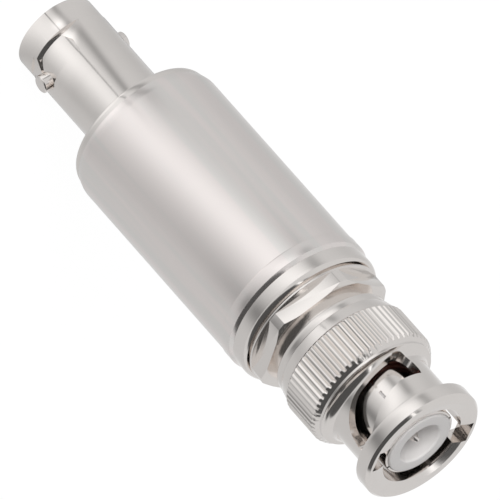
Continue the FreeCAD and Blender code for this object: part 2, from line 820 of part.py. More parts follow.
# Ring pressed into the nut's open end, which turns on the plug's journal
def nut_back_ring():
    return turned("nut_back_ring", [
        (JOURNAL_BORE, NUT_BACK),
        (BACK_RING_RADIUS - S.back_ring_edge, NUT_BACK),
        (BACK_RING_RADIUS, NUT_BACK + S.back_ring_edge),
        (BACK_RING_RADIUS, BACK_RING_TOP - S.back_ring_edge),
        (BACK_RING_RADIUS - S.back_ring_edge, BACK_RING_TOP),
        (S.cavity_radius - S.fit_gap, BACK_RING_TOP),
        (S.cavity_radius - S.fit_gap, SPIGOT_TOP),
        (JOURNAL_BORE, SPIGOT_TOP),
    ])


# Flat washer between the back ring and the spring
def thrust_washer():
    return turned("thrust_washer", [
        (JOURNAL_BORE, SPIGOT_TOP), (WASHER_RADIUS, SPIGOT_TOP),
        (WASHER_RADIUS, THRUST_TOP), (JOURNAL_BORE, THRUST_TOP)])


# Open retaining ring in the plug body's groove, which the spring bears on
def retaining_ring():
    body = turned("retaining_ring", [
        (S.ring_groove_radius, WAVE_TOP), (WASHER_RADIUS, WAVE_TOP),
        (WASHER_RADIUS, RING_TOP), (S.ring_groove_radius, RING_TOP)])
    half = S.ring_opening / 2
    pocket(body, "ring_opening",
           [(AXIS, half * -1), (S.cavity_radius, half * -1), (S.cavity_radius, half), (AXIS, half)],
           RING_TOP, S.ring_height)
    return body


# Wave washer: a thin ring that rises and falls between the thrust washer and the ring
def wave_washer():
    metal = S.wave_washer_metal.value
    swing = (S.wave_washer_height.value - metal) / 2
    middle = THRUST_TOP.value + swing
    steps = int(S.wave_count.value) * 8

    def wave(radius):
        points = []
        for step in range(steps):
            turn = 360.0 * step / steps
            rise = swing * math.cos(math.radians(turn * S.wave_count.value))
            points.append(on_cylinder(radius, turn, middle + rise))
        curve = Part.BSplineCurve()
        curve.interpolate(points, PeriodicFlag=True)
        return curve.toShape()

    face = Part.makeRuledSurface(wave(JOURNAL_BORE.value), wave(WASHER_RADIUS.value))
    return held("wave_washer", face.extrude(Vector(0, 0, metal)))


# Resistor stack on the axis: a ceramic rod in two cups, and a ceramic disc at each end
def series_rod():
    return turned("series_rod", [
        (AXIS, ROD_LOW), (S.rod_radius, ROD_LOW), (S.rod_radius, ROD_TOP), (AXIS, ROD_TOP)])


def shunt_disc(name, low):
    hole = S.cup_stem_radius + S.fit_gap
    top = low + S.disc_height
    return turned(name, [(hole, low), (SPIGOT_RADIUS, low), (SPIGOT_RADIUS, top), (hole, top)])


def rear_contact_cup():
    return turned("rear_contact_cup", [
        (CONTACT_BORE, STACK_LOW),
        (S.cup_stem_radius, STACK_LOW),
        (S.cup_stem_radius, REAR_DISC_TOP),
        (CUP_RADIUS, REAR_DISC_TOP),
        (CUP_RADIUS, ROD_LOW + S.cup_grip),
        (CUP_BORE, ROD_LOW + S.cup_grip),
        (CUP_BORE, ROD_LOW),
        (AXIS, ROD_LOW),
        (AXIS, REAR_DISC_TOP),
        (CONTACT_BORE, REAR_DISC_TOP),
    ])


def front_contact_cup():
    return turned("front_contact_cup", [
        (CUP_BORE, ROD_TOP - S.cup_grip),
        (CUP_RADIUS, ROD_TOP - S.cup_grip),
        (CUP_RADIUS, FRONT_DISC_LOW),
        (S.cup_stem_radius, FRONT_DISC_LOW),
        (S.cup_stem_radius, STACK_TOP),
        (CONTACT_BORE, STACK_TOP),
        (CONTACT_BORE, FRONT_DISC_LOW),
        (AXIS, FRONT_DISC_LOW),
        (AXIS, ROD_TOP),
        (CUP_BORE, ROD_TOP),
    ])


# Sleeve that spaces the discs and joins their rims to the housing
def ground_sleeve():
    inner = SPIGOT_RADIUS - S.ground_wall
    return turned("ground_sleeve", [
        (inner, REAR_DISC_TOP), (SPIGOT_RADIUS, REAR_DISC_TOP),
        (SPIGOT_RADIUS, FRONT_DISC_LOW), (inner, FRONT_DISC_LOW)])


near_stud = S.stud_azimuth.value
far_stud = near_stud + 180
parts = [
    housing_tube(),
    front_cap(),
    rear_cap(),
    stem_nut("plug_nut", FRONT_WEB_LOW - S.stem_nut_height),
    stem_nut("jack_nut", REAR_WEB_TOP),
    jack_body([
        two_fold("jack_reliefs", jack_relief()), two_fold("relief_flats", relief_flat()),
        two_fold("stud_flats", stud_flat()),
        stud_hole("near_stud_hole", near_stud), stud_hole("far_stud_hole", far_stud)]),
    jack_stud("jack_stud_near", near_stud),
    jack_stud("jack_stud_far", far_stud),
    jack_insulator(),
    jack_socket(),
    plug_body(),
    plug_ferrule(),
    plug_insulator(),
    plug_pin(),
    plug_gasket(),
    coupling_nut(two_fold("sleeve_slots", sleeve_slot()),
                 two_fold("entry_channels", entry_channel())),
    nut_back_ring(),
    thrust_washer(),
    wave_washer(),
    retaining_ring(),
    series_rod(),
    shunt_disc("rear_shunt_disc", STACK_LOW),
    shunt_disc("front_shunt_disc", FRONT_DISC_LOW),
    rear_contact_cup(),
    front_contact_cup(),
    ground_sleeve(),
]

doc.recompute()
for thing in doc.Objects:
    if "Invalid" in thing.State or "Error" in thing.State:
        raise ValueError("%s failed: %s" % (thing.Label, thing.State))
for part in parts:
    shape = part.Shape
    if shape.isNull() or not shape.isValid() or len(shape.Solids) != 1:
        raise ValueError(part.Label + " is not one sound solid")
    shape.exportStep("parts/%s.step" % part.Label)
    print("%-18s %10.3f mm3" % (part.Label, shape.Volume))
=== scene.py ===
"""Dresses a coaxial attenuator: a bayonet jack and a bayonet plug on a satin nickel tube."""

import math

import bmesh
import bpy
from bpy.props import FloatProperty, FloatVectorProperty, IntProperty, PointerProperty
from mathutils import Matrix, Vector
from mathutils.geometry import interpolate_bezier


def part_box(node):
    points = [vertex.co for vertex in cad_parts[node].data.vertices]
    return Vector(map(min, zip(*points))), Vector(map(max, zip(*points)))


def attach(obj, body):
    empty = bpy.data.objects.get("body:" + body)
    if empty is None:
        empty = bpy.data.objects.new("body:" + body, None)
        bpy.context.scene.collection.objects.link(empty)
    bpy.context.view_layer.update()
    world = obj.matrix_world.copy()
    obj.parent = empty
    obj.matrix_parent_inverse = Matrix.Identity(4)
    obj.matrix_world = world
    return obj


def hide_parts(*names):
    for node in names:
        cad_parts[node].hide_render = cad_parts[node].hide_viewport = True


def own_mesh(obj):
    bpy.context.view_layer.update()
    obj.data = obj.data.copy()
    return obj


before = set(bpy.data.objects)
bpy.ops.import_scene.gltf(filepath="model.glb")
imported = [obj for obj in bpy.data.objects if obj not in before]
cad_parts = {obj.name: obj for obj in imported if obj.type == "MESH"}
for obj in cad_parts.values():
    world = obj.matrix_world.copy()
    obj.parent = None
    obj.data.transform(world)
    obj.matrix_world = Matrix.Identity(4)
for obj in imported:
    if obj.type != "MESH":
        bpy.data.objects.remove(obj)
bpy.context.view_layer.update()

bl_info = {
    "name": "Bayonet attenuator",
    "version": (1, 0, 0),
    "blender": (4, 5, 0),
    "location": "View3D > Sidebar > Attenuator",
    "description": "Builds the visible pieces, finishes and studio of a coaxial attenuator",
    "category": "Object",
}

MM = 0.001
SMOOTH_ANGLE = math.radians(32.0)
FULL_TURN = 2 * math.pi
SAME_POINT = 1e-4
# Millimetres: the play between parts that fit, and how far a cutter passes a wall
PLAY = 0.02
CUT_PAST = 0.5


def heights(node):
    """Lowest and highest height of a CAD node, in millimetres."""
    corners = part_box(node)
    return corners[0].z / MM, corners[1].z / MM


def reach_of(node):
    """Radius that a turned CAD node reaches, in millimetres."""
    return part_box(node)[1].x / MM


def length(name, description, millimetres):
    """A length, given here in millimetres."""
    return FloatProperty(name=name, description=description, default=millimetres * MM,
                         min=0.0, unit="LENGTH", precision=5)


def angle(name, description, degrees):
    """An angle, given here in degrees."""
    return FloatProperty(name=name, description=description, default=math.radians(degrees),
                         subtype="ANGLE")


def tint(name, description, default):
    """A colour."""
    return FloatVectorProperty(name=name, description=description, default=default,
                               subtype="COLOR", size=3, min=0.0, max=1.0)


def share(name, description, default):
    """A number from none to all."""
    return FloatProperty(name=name, description=description, default=default,
                         subtype="FACTOR", min=0.0, max=1.0)


class HousingSizes(bpy.types.PropertyGroup):
    """Sizes of the housing tube and its two caps."""
    tube_radius: length("Tube radius", "Radius of the tube's long wall", 8.78)
    tube_bore: length("Tube bore", "Radius inside the tube", 7.6)
    lip_radius: length("Lip radius", "Radius of the proud lip at the plug end",
                       reach_of("housing_tube"))
    lip_length: length("Lip length", "Length of the proud lip", 1.9)
    lip_bevel: length("Lip bevel", "Height of the bevel at the lip's end", 0.46)
    lip_inset: length("Lip inset", "Depth of the bevel at the lip's end", 0.27)
    back_bevel: length("Back bevel", "Height of the bevel at the jack end", 0.95)
    back_inset: length("Back inset", "Depth of the bevel at the jack end", 0.28)
    cap_bore: length("Cap bore", "Radius of the hole for a connector's stem", 4.82)
    spigot_bore: length("Spigot bore", "Radius inside a cap's spigot", 6.4)
    spigot_length: length("Spigot length", "Reach of a cap into the tube", 3.5)
    web: length("Web", "Thickness of a cap under its face", 2.45)
    front_rim: length("Plug end rim", "Radius of the cap at the plug end", 8.62)
    front_round: length("Plug end rounding", "Rounding of that cap's rim", 0.55)
    rear_rim: length("Jack end rim", "Radius of the cap at the jack end", 8.45)
    rear_face: length("Jack end face", "Radius of that cap's flat face", 8.15)
    rear_round: length("Jack end rounding", "Height of that cap's domed rim", 0.42)
    boss_radius: length("Boss radius", "Radius of the boss at the jack end", 6.9)
    boss_height: length("Boss height", "Height of the boss", 0.65)


class JackSizes(bpy.types.PropertyGroup):
    """Sizes of the jack's shell, studs, insulator and contact."""
    radius: length("Barrel radius", "Radius of the barrel", 4.825)
    collar_radius: length("Collar radius", "Radius of the collar at the mouth", 4.77)
    collar_length: length("Collar length", "Length of the collar", 2.85)
    bore: length("Bore", "Radius inside the mouth", 4.1)
    bore_depth: length("Bore depth", "Depth of the mouth", 8.6)
    flange_radius: length("Flange radius", "Radius of the flange on the boss", 6.0)
    flange_height: length("Flange height", "Thickness of that flange", 0.45)
    stem_radius: length("Stem radius", "Radius of the stem inside the cap", 4.8)
    stem_bore: length("Stem bore", "Radius inside the stem", 3.2)
    relief_length: length("Relief length", "Length of the reliefs beside the studs", 3.4)
    relief_depth: length("Relief depth", "Depth of the reliefs", 0.425)
    flat_depth: length("Flat depth", "Depth of the slanted flat past a relief", 0.475)
    flat_angle: angle("Flat angle", "Turn of that flat, back from the stud", 71.7)
    foot_depth: length("Foot depth", "Depth of the flat that a stud stands on", 0.275)
    foot_reach: length("Foot reach", "Reach of that flat below the stud's centre", 2.55)
    stud_radius: length("Stud radius", "Radius of a stud", 1.0)
    stud_reach: length("Stud reach", "Distance of a stud's tip from the axis", 5.5)
    stud_height: length("Stud height", "Height of the studs' centres", 4.95)
    stud_angle: angle("Stud angle", "Direction of the near stud", 63.3)
    nose_radius: length("Nose radius", "Radius of the insulator's nose", 2.36)
    contact_radius: length("Contact radius", "Radius of the slit contact", 1.0)
    contact_bore: length("Contact bore", "Radius inside the slit contact", 0.695)
    contact_length: length("Contact length", "Length of the contact's front", 9.4)
    contact_depth: length("Contact depth", "Depth of the hole in the contact", 6.0)
    slit_width: length("Slit width", "Width of the contact's slits", 0.25)
    slit_length: length("Slit length", "Length of the contact's slits", 4.8)


class PlugSizes(bpy.types.PropertyGroup):
    """Sizes of the plug's shell, spring tube, insulator and pin."""
    seam_radius: length("Seam radius", "Radius of the sunk seam", 7.7)
    seam_height: length("Seam height", "Height of the sunk seam", 0.25)
    ring_radius: length("Ring radius", "Radius of the ring under the hexagon", 8.15)
    ring_height: length("Ring height", "Height of that ring", 0.25)
    stem_radius: length("Stem radius", "Radius of the stem inside the cap", 4.8)
    hex_width: length("Hexagon width", "Width across the flats", 14.5)
    hex_radius: length("Hexagon radius", "Radius of the hexagon's turned corners", 8.1)
    hex_height: length("Hexagon height", "Height of the hexagon", 1.9)
    hex_angle: angle("Hexagon angle", "Turn of the hexagon", 20.0)
    stop_radius: length("Stop radius", "Radius of the collar behind the nut", 6.0)
    neck_radius: length("Neck radius", "Radius that the nut turns on", 5.2)
    groove_radius: length("Groove radius", "Radius of the retaining ring's groove", 4.62)
    groove_start: length("Groove start", "Height of the groove over the nut's back", 3.5)
    groove_width: length("Groove width", "Width of the retaining ring's groove", 0.6)
    land_radius: length("Land radius", "Radius of the land behind the seal", 4.95)
    tube_radius: length("Spring tube radius", "Radius of the slit outer contact", 4.26)
    tube_wall: length("Spring tube wall", "Wall of the slit outer contact", 0.31)
    slit_width: length("Slit width", "Width of its slits", 0.3)
    slit_length: length("Slit length", "Length of its slits", 5.3)
    slit_angle: angle("Slit angle", "Turn of its slits", 84.0)
    cup_radius: length("Cup radius", "Radius inside the insulator's cup", 2.48)
    cup_depth: length("Cup depth", "Depth of the insulator's cup", 5.6)
    pin_radius: length("Pin radius", "Radius of the pin", 0.675)
    pin_point: length("Pin point", "Length of the pin's point", 1.2)


class NutSizes(bpy.types.PropertyGroup):
    """Sizes of the coupling nut and the ring in its open end."""
    flange_radius: length("Flange radius", "Radius of the front flange", 7.22)
    flange_height: length("Flange height", "Thickness of the front flange", 1.9)
    flange_edge: length("Flange edge", "Bevel of the front flange", 0.3)
    mouth_radius: length("Mouth radius", "Radius of the mouth's cone", 6.0)
    mouth_depth: length("Mouth depth", "Depth of the mouth's cone", 0.27)
    sleeve_radius: length("Sleeve radius", "Radius of the slotted sleeve", 5.87)
    sleeve_end: length("Sleeve end", "Depth of the sleeve's root behind the front", 8.1)
    sleeve_fillet: length("Sleeve fillet", "Rounding at the sleeve's root", 1.1)
    sleeve_bore: length("Sleeve bore", "Radius inside the sleeve", 5.0)
    cavity_radius: length("Cavity radius", "Radius of the spring's cavity", 6.3)
    cavity_depth: length("Cavity depth", "Depth of the spring's cavity", 4.4)
    ridge_radius: length("Ridge radius", "Radius of the ridge below the grip", 7.05)
    shoulder_radius: length("Shoulder radius", "Radius of the grip's front edge", 7.48)
    shoulder_depth: length("Shoulder depth", "Depth of that edge behind the front", 8.75)
    grip_radius: length("Grip radius", "Radius of the knurled grip", 7.68)
    grip_start: length("Grip start", "Depth of the grip's start behind the front", 9.1)
    grip_end: length("Grip end", "Depth of the grip's end behind the front", 13.6)
    band_radius: length("Band radius", "Radius of the plain band", 7.5)
    band_end_radius: length("Band end radius", "Radius of the band's end", 7.14)
    rib_depth: length("Rib depth", "Depth of the knurl", 0.27)
    rib_count: IntProperty(name="Ribs", description="Number of ribs on the grip", default=60,
                           min=12)
    channel_width: length("Channel width", "Width of the studs' entry channels", 2.6)
    channel_radius: length("Channel radius", "Reach of the entry channels", 6.5)
    lock_angle: angle("Lock angle", "Direction of a locked stud, clockwise", 44.0)
    twist: angle("Twist", "Turn from entry to lock", 90.0)
    ring_radius: length("Back ring radius", "Radius of the ring at the open end",
                        reach_of("nut_back_ring"))
    ring_bore: length("Back ring bore", "Radius inside that ring", 5.25)
    slide: length("Slide", "Way that the nut slides forward", 0.9)
    wave_metal: length("Wave washer metal", "Thickness of the wave washer's metal", 0.25)
    wave_count: IntProperty(name="Waves", description="Number of waves in the washer",
                            default=3, min=2)


class Finishes(bpy.types.PropertyGroup):
    """Colours and polish of the finishes."""
    satin: tint("Satin nickel", "Colour of the tube", (0.95, 0.893, 0.872))
    # Colour of painted reflection bands: darker streaks along the tube that stand in for bands
    # of reflected light
    streak: tint("Satin streaks", "Colour of the streaks along the tube", (0.885, 0.86, 0.838))
    satin_roughness: share("Satin roughness", "Roughness of the tube", 0.21)
    bright: tint("Bright nickel", "Colour of the connectors", (0.91, 0.87, 0.84))
    bright_roughness: share("Bright roughness", "Roughness of the connectors", 0.13)
    white: tint("Insulator white", "Colour of the insulators", (0.70, 0.68, 0.67))
    gold: tint("Contact gold", "Colour of the contacts", (0.83, 0.66, 0.36))
    rubber: tint("Seal colour", "Colour of the seal", (0.26, 0.08, 0.06))
    steel: tint("Spring steel", "Colour of the washers", (0.55, 0.54, 0.53))
    ceramic: tint("Ceramic", "Colour of the resistor stack", (0.84, 0.83, 0.80))
    brass: tint("Brass", "Colour of the stem nuts", (0.74, 0.56, 0.26))


class StudioSizes(bpy.types.PropertyGroup):
    """Floor, light and camera."""
    floor_radius: length("Floor radius", "Radius of the floor", 4000.0)
    key_strength: FloatProperty(name="Key light", description="Strength of the soft key light",
                                default=2.0, min=0.0)
    fill_strength: FloatProperty(name="Fill light", description="Strength of the even light",
                                 default=0.85, min=0.0)
    lens: FloatProperty(name="Lens", description="Focal length in millimetres",
                        default=1128.6, min=1.0)


GROUPS = {
    "housing_sizes": HousingSizes,
    "jack_sizes": JackSizes,
    "plug_sizes": PlugSizes,
    "nut_sizes": NutSizes,
    "finishes": Finishes,
    "studio": StudioSizes,
}


class InMillimetres:
    """The lengths of a property group, read in millimetres."""

    def __init__(self, group):
        self.group = group

    def __getattr__(self, name):
        return getattr(self.group, name) / MM


# ---- mesh
def turned(corners, steps=192):
    """A closed half section of radii, heights and roundings, spun about the axis."""
    bm = bmesh.new()
    points = [bm.verts.new((corner[0], 0.0, corner[1])) for corner in corners]
    for first, second in zip(points, points[1:] + points[:1]):
        if first.co.x > 0 or second.co.x > 0:
            bm.edges.new((first, second))
    rounded = {}
    for point, corner in zip(points, corners):
        if len(corner) > 2:
            rounded.setdefault(corner[2], []).append(point)
    for size, verts in rounded.items():
        bmesh.ops.bevel(bm, geom=verts, offset=size, offset_type="OFFSET", affect="VERTICES",
                        segments=3 if size < 0.2 else 8, profile=0.5, material=-1)
    bmesh.ops.spin(bm, geom=bm.verts[:] + bm.edges[:], cent=(0, 0, 0), axis=(0, 0, 1),
                   angle=FULL_TURN, steps=steps, use_merge=True)
    bmesh.ops.remove_doubles(bm, verts=bm.verts, dist=SAME_POINT)
    face_outwards(bm)
    return bm


def face_outwards(bm):
    """Turn the faces of a closed mesh outwards."""
    bmesh.ops.recalc_face_normals(bm, faces=bm.faces)
    if bm.calc_volume(signed=True) < 0.0:
        bmesh.ops.reverse_faces(bm, faces=bm.faces)


def turn_round(bm, turn):
    """Turn a mesh about the part's axis."""
    bmesh.ops.rotate(bm, verts=bm.verts, cent=(0, 0, 0), matrix=Matrix.Rotation(turn, 3, "Z"))


def grow(bm, faces, step):
    """Thicken flat faces into a solid, by one step."""
    grown = bmesh.ops.extrude_face_region(bm, geom=faces)["geom"]
    bmesh.ops.translate(bm, verts=[v for v in grown if isinstance(v, bmesh.types.BMVert)],
                        vec=step)


def block(corner, size, turn=0.0):
    """A box from its lowest corner and its size, turned about the axis."""
    bm = bmesh.new()
    bmesh.ops.create_cube(bm, size=1.0)
    bmesh.ops.translate(bm, verts=bm.verts, vec=(0.5, 0.5, 0.5))
    bmesh.ops.scale(bm, verts=bm.verts, vec=size)
    bmesh.ops.translate(bm, verts=bm.verts, vec=corner)
    turn_round(bm, turn)
    return bm


def half_turn(bm):
    """The same mesh on the other side of the axis."""
    other = bm.copy()
    turn_round(other, math.pi)
    return other


def plain_object(name, bm):
    """An object in the scene that holds a mesh."""
    mesh = bpy.data.meshes.new(name)
    bm.to_mesh(mesh)
    bm.free()
    thing = bpy.data.objects.new(name, mesh)
    bpy.context.scene.collection.objects.link(thing)
    return thing


def carved(bm, tools, operation="DIFFERENCE"):
    """The mesh less each tool, or what it shares with them."""
    blank = plain_object("blank", bm)
    cutters = [plain_object("cutter", tool) for tool in tools]
    for cutter in cutters:
        cut = blank.modifiers.new("cut", "BOOLEAN")
        cut.operation = operation
        cut.solver = "MANIFOLD"
        cut.object = cutter
    result = bmesh.new()
    result.from_object(blank, bpy.context.evaluated_depsgraph_get())
    for thing in [blank] + cutters:
        mesh = thing.data
        bpy.data.objects.remove(thing)
        bpy.data.meshes.remove(mesh)
    bmesh.ops.remove_doubles(result, verts=result.verts, dist=SAME_POINT)
    return result


def wrapped(outline, radius, inner, outer, bend=3.0):
    """A wall over an outline of arc lengths and heights, wrapped round the axis."""
    bm = bmesh.new()
    face = bm.faces.new([bm.verts.new((0.0, x, z)) for x, z in outline])
    grow(bm, [face], (1.0, 0.0, 0.0))
    arcs = [x for x, _ in outline]
    first, last = min(arcs), max(arcs)
    strip = radius * math.radians(bend)
    for index in range(1, math.ceil((last - first) / strip)):
        bmesh.ops.bisect_plane(bm, geom=bm.verts[:] + bm.edges[:] + bm.faces[:],
                               plane_co=(0.0, first + strip * index, 0.0),
                               plane_no=(0.0, 1.0, 0.0))
    for vert in bm.verts:
        turn = vert.co.y / radius
        reach = outer if vert.co.x > 0.5 else inner
        vert.co = (reach * math.cos(turn), reach * math.sin(turn), vert.co.z)
    face_outwards(bm)
    return bm


def smooth_run(points, steps=6):
    """Points along a smooth curve through the given ones."""
    knots = [Vector((x, z, 0.0)) for x, z in points]
    ends = knots[:1] + knots + knots[-1:]
    slopes = [(after - before).normalized() for before, after in zip(ends, ends[2:])]
    run = [knots[0]]
    for index in range(len(knots) - 1):
        start, end = knots[index], knots[index + 1]
        reach = (end - start).length / 3
        run += interpolate_bezier(start, start + slopes[index] * reach,
                                  end - slopes[index + 1] * reach, end, steps)[1:]
    return [(point.x, point.y) for point in run]


def finished(name, bm, node, slot="bright_nickel", body="housing"):
    """Store a mesh as a piece that stands for its CAD node."""
    face_outwards(bm)
    bmesh.ops.scale(bm, verts=bm.verts, vec=(MM, MM, MM))
    for face in bm.faces:
        face.smooth = True
    for edge in bm.edges:
        edge.smooth = edge.calc_face_angle(0.0) < SMOOTH_ANGLE
    piece = plain_object(name, bm)
    piece.data.materials.append(finish(slot))
    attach(piece, body)
    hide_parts(node)
    return piece


# ---- shader
class Wire:
    """A shader socket that can be used in sums."""

    def __init__(self, board, socket):
        self.board = board
        self.socket = socket

    def math(self, operation, *others):
        return self.board.node("ShaderNodeMath", {"operation": operation},
                               dict(enumerate((self,) + others)))

    def __add__(self, other):
        return self.math("ADD", other)

    __radd__ = __add__

    def __sub__(self, other):
        return self.math("SUBTRACT", other)

    def __rsub__(self, other):
        return (self * -1.0) + other

    def __mul__(self, other):
        return self.math("MULTIPLY", other)

    __rmul__ = __mul__

    def __truediv__(self, other):
        return self.math("DIVIDE", other)

    def bump_at(self, centre, half_width):
        """One at the centre, falling smoothly to nothing."""
        away = (self - centre) / half_width
        return (away * away * -1.0).math("EXPONENT")


class Board:
    """The node tree of a material or the world."""

    def __init__(self, tree):
        self.tree = tree
        tree.nodes.clear()

    def node(self, kind, settings=None, values=None, output=0):
        made = self.tree.nodes.new(kind)
        for name, value in (settings or {}).items():
            setattr(made, name, value)
        for name, value in (values or {}).items():
            if isinstance(value, Wire):
                self.tree.links.new(value.socket, made.inputs[name])
            else:
                made.inputs[name].default_value = value
        return Wire(self, made.outputs[output]) if made.outputs else made

    def place(self):
        return self.node("ShaderNodeTexCoord", output="Object")

    def axes(self, point):
        return [self.node("ShaderNodeSeparateXYZ", None, {"Vector": point}, axis)
                for axis in "XYZ"]

    def noise(self, vector, scale, detail=2.0):
        return self.node("ShaderNodeTexNoise", None,
                         {"Vector": vector, "Scale": scale, "Detail": detail})

    def fade(self, value, start, end):
        """Nothing at the start, rising smoothly to one at the end."""
        return self.node("ShaderNodeMapRange", {"interpolation_type": "SMOOTHSTEP"},
                         {"Value": value, "From Min": start, "From Max": end})

    def relief(self, height, strength, distance):
        return self.node("ShaderNodeBump", None,
                         {"Height": height, "Strength": strength, "Distance": distance})

    def blend(self, factor, first, second, kind="RGBA"):
        return self.node("ShaderNodeMix", {"data_type": kind},
                         {"Factor": factor, "A": first, "B": second}, "Result")


def colour(value, level=1.0):
    """A colour for a shader socket."""
    return tuple(channel * level for channel in value) + (1.0,)


def build_board(name, make):
    """A material whose nodes are made once."""
    material = bpy.data.materials.get(name)
    if material is None:
        material = bpy.data.materials.new(name)
        material.use_nodes = True
        board = Board(material.node_tree)
        board.node("ShaderNodeOutputMaterial", None, {"Surface": make(board)})
    return material


def turned_metal(board, base, roughness, lines, stain, streak=None):
    """Plated metal with fine turning lines, faint stains and uneven polish."""
    point = board.place()
    x, y, z = board.axes(point)
    radius = (x * x + y * y).math("SQRT")
    along = z + radius
    line_point = board.node("ShaderNodeCombineXYZ", None, {"X": along})
    fine = board.noise(line_point, 9000.0, 3.0)
    broad = board.noise(line_point, 1400.0, 2.0)
    patches = board.noise(point, 260.0, 4.0)
    specks = board.noise(point, 2600.0, 2.0)
    tone = board.blend(patches * 0.7 + broad * 0.3, colour(base, 1.0 - stain), colour(base))
    # Painted reflection bands: darker streaks along the tube, round its axis, in place of
    # bands of reflected light
    if streak:
        around = board.node("ShaderNodeCombineXYZ", None,
                            {"X": x / radius, "Y": y / radius, "Z": z * 4.0})
        tone = board.blend(board.fade(board.noise(around, 5.5, 4.0), 0.42, 0.6), tone,
                           colour(streak))
    polish = (patches - 0.5) * (roughness * 0.8) + (fine - 0.5) * (roughness * 0.5) + roughness
    height = fine * 0.6 + broad * 0.25 + specks * 0.15
    normal = board.relief(height, lines, 0.00002)
    return board.node("ShaderNodeBsdfPrincipled", None, {
        "Base Color": tone, "Metallic": 1.0, "Roughness": polish, "Normal": normal})


def moulded(board, base, roughness, mottle, grain):
    """A plain solid with a faint mottle and grain."""
    point = board.place()
    patches = board.noise(point, 420.0, 3.0)
    fine = board.noise(point, 5200.0, 2.0)
    tone = board.blend(patches, colour(base, 1.0 - mottle), colour(base))
    normal = board.relief(fine * 0.6 + patches * 0.4, grain, 0.00003)
    return board.node("ShaderNodeBsdfPrincipled", None, {
        "Base Color": tone, "Roughness": (fine - 0.5) * 0.12 + roughness, "Normal": normal})


# How each slot's finish is made; a name stands for that colour or share of the finishes
SLOTS = {
    "satin_nickel": (turned_metal, "satin", "satin_roughness", 0.1, 0.04, "streak"),
    "bright_nickel": (turned_metal, "bright", "bright_roughness", 0.12, 0.07),
    "contact_gold": (turned_metal, "gold", 0.18, 0.12, 0.08),
    "spring_steel": (turned_metal, "steel", 0.28, 0.2, 0.1),
    "brass": (turned_metal, "brass", 0.3, 0.2, 0.1),
    "white_insulator": (moulded, "white", 0.42, 0.025, 0.1),
    "red_silicone": (moulded, "rubber", 0.36, 0.3, 0.25),
    "ceramic": (moulded, "ceramic", 0.5, 0.05, 0.2),
}


def finish(slot):
    """The material of one of the record's slots."""
    finishes = bpy.context.scene.finishes
    make, *values = SLOTS[slot]
    values = [getattr(finishes, value) if isinstance(value, str) else value
              for value in values]
    return build_board(slot + "_finish", lambda board: make(board, *values))


# ---- pieces
class PieceMaker:
    """What the operators share."""
    bl_options = {"REGISTER", "UNDO"}

    def execute(self, context):
        self.build(context.scene)
        return {"FINISHED"}


class ATTENUATOR_OT_tube(PieceMaker, bpy.types.Operator):
    """Build the satin housing tube"""
    bl_idname = "attenuator.tube"
    bl_label = "Housing tube"

    def build(self, scene):
        s = InMillimetres(scene.housing_sizes)
        bottom, top = heights("housing_tube")
        lip = top - s.lip_length
        tube = turned([
            (s.tube_bore, bottom),
            (s.tube_radius - s.back_inset, bottom, 0.05),
            (s.tube_radius, bottom + s.back_bevel, 0.25),
            (s.tube_radius, lip),
            (s.lip_radius, lip + s.lip_radius - s.tube_radius, 0.04),
            (s.lip_radius, top - s.lip_bevel, 0.04),
            (s.lip_radius - s.lip_inset, top, 0.04),
            (s.tube_bore, top),
        ], steps=256)
        finished("tube_shell", tube, "housing_tube", "satin_nickel")


class ATTENUATOR_OT_caps(PieceMaker, bpy.types.Operator):
    """Build the two end caps of the housing"""
    bl_idname = "attenuator.caps"
    bl_label = "End caps"

    def build(self, scene):
        s = InMillimetres(scene.housing_sizes)
        tube_low, tube_top = heights("housing_tube")
        spigot = s.tube_bore - PLAY
        face = heights("front_cap")[1]
        front = turned([
            (s.cap_bore, face - s.web),
            (s.spigot_bore, face - s.web),
            (s.spigot_bore, tube_top - s.spigot_length),
            (spigot, tube_top - s.spigot_length),
            (spigot, tube_top),
            (s.front_rim, tube_top),
            (s.front_rim, face - 0.2, s.front_round),
            (s.front_rim - 0.32, face, 0.12),
            (s.cap_bore, face),
        ], steps=256)
        finished("plug_end_cap", front, "front_cap")
        boss = heights("rear_cap")[0]
        face = boss + s.boss_height
        rear = turned([
            (s.cap_bore, boss),
            (s.boss_radius, boss, 0.06),
            (s.boss_radius, face),
            (s.rear_face, face, 0.1),
            (s.rear_rim - 0.03, face + s.rear_round, 0.3),
            (s.rear_rim, tube_low),
            (spigot, tube_low),
            (spigot, tube_low + s.spigot_length),
            (s.spigot_bore, tube_low + s.spigot_length),
            (s.spigot_bore, face + s.web),
            (s.cap_bore, face + s.web),
        ], steps=256)
        finished("jack_end_cap", rear, "rear_cap")


# Outline of a relief: degrees back from the stud, and shares of its length above the collar
RELIEF_EDGE = ((27.0, -0.12), (61.0, -0.12), (74.0, 0.5), (70.0, 1.12), (0.0, 1.12),
               (3.0, 0.34))


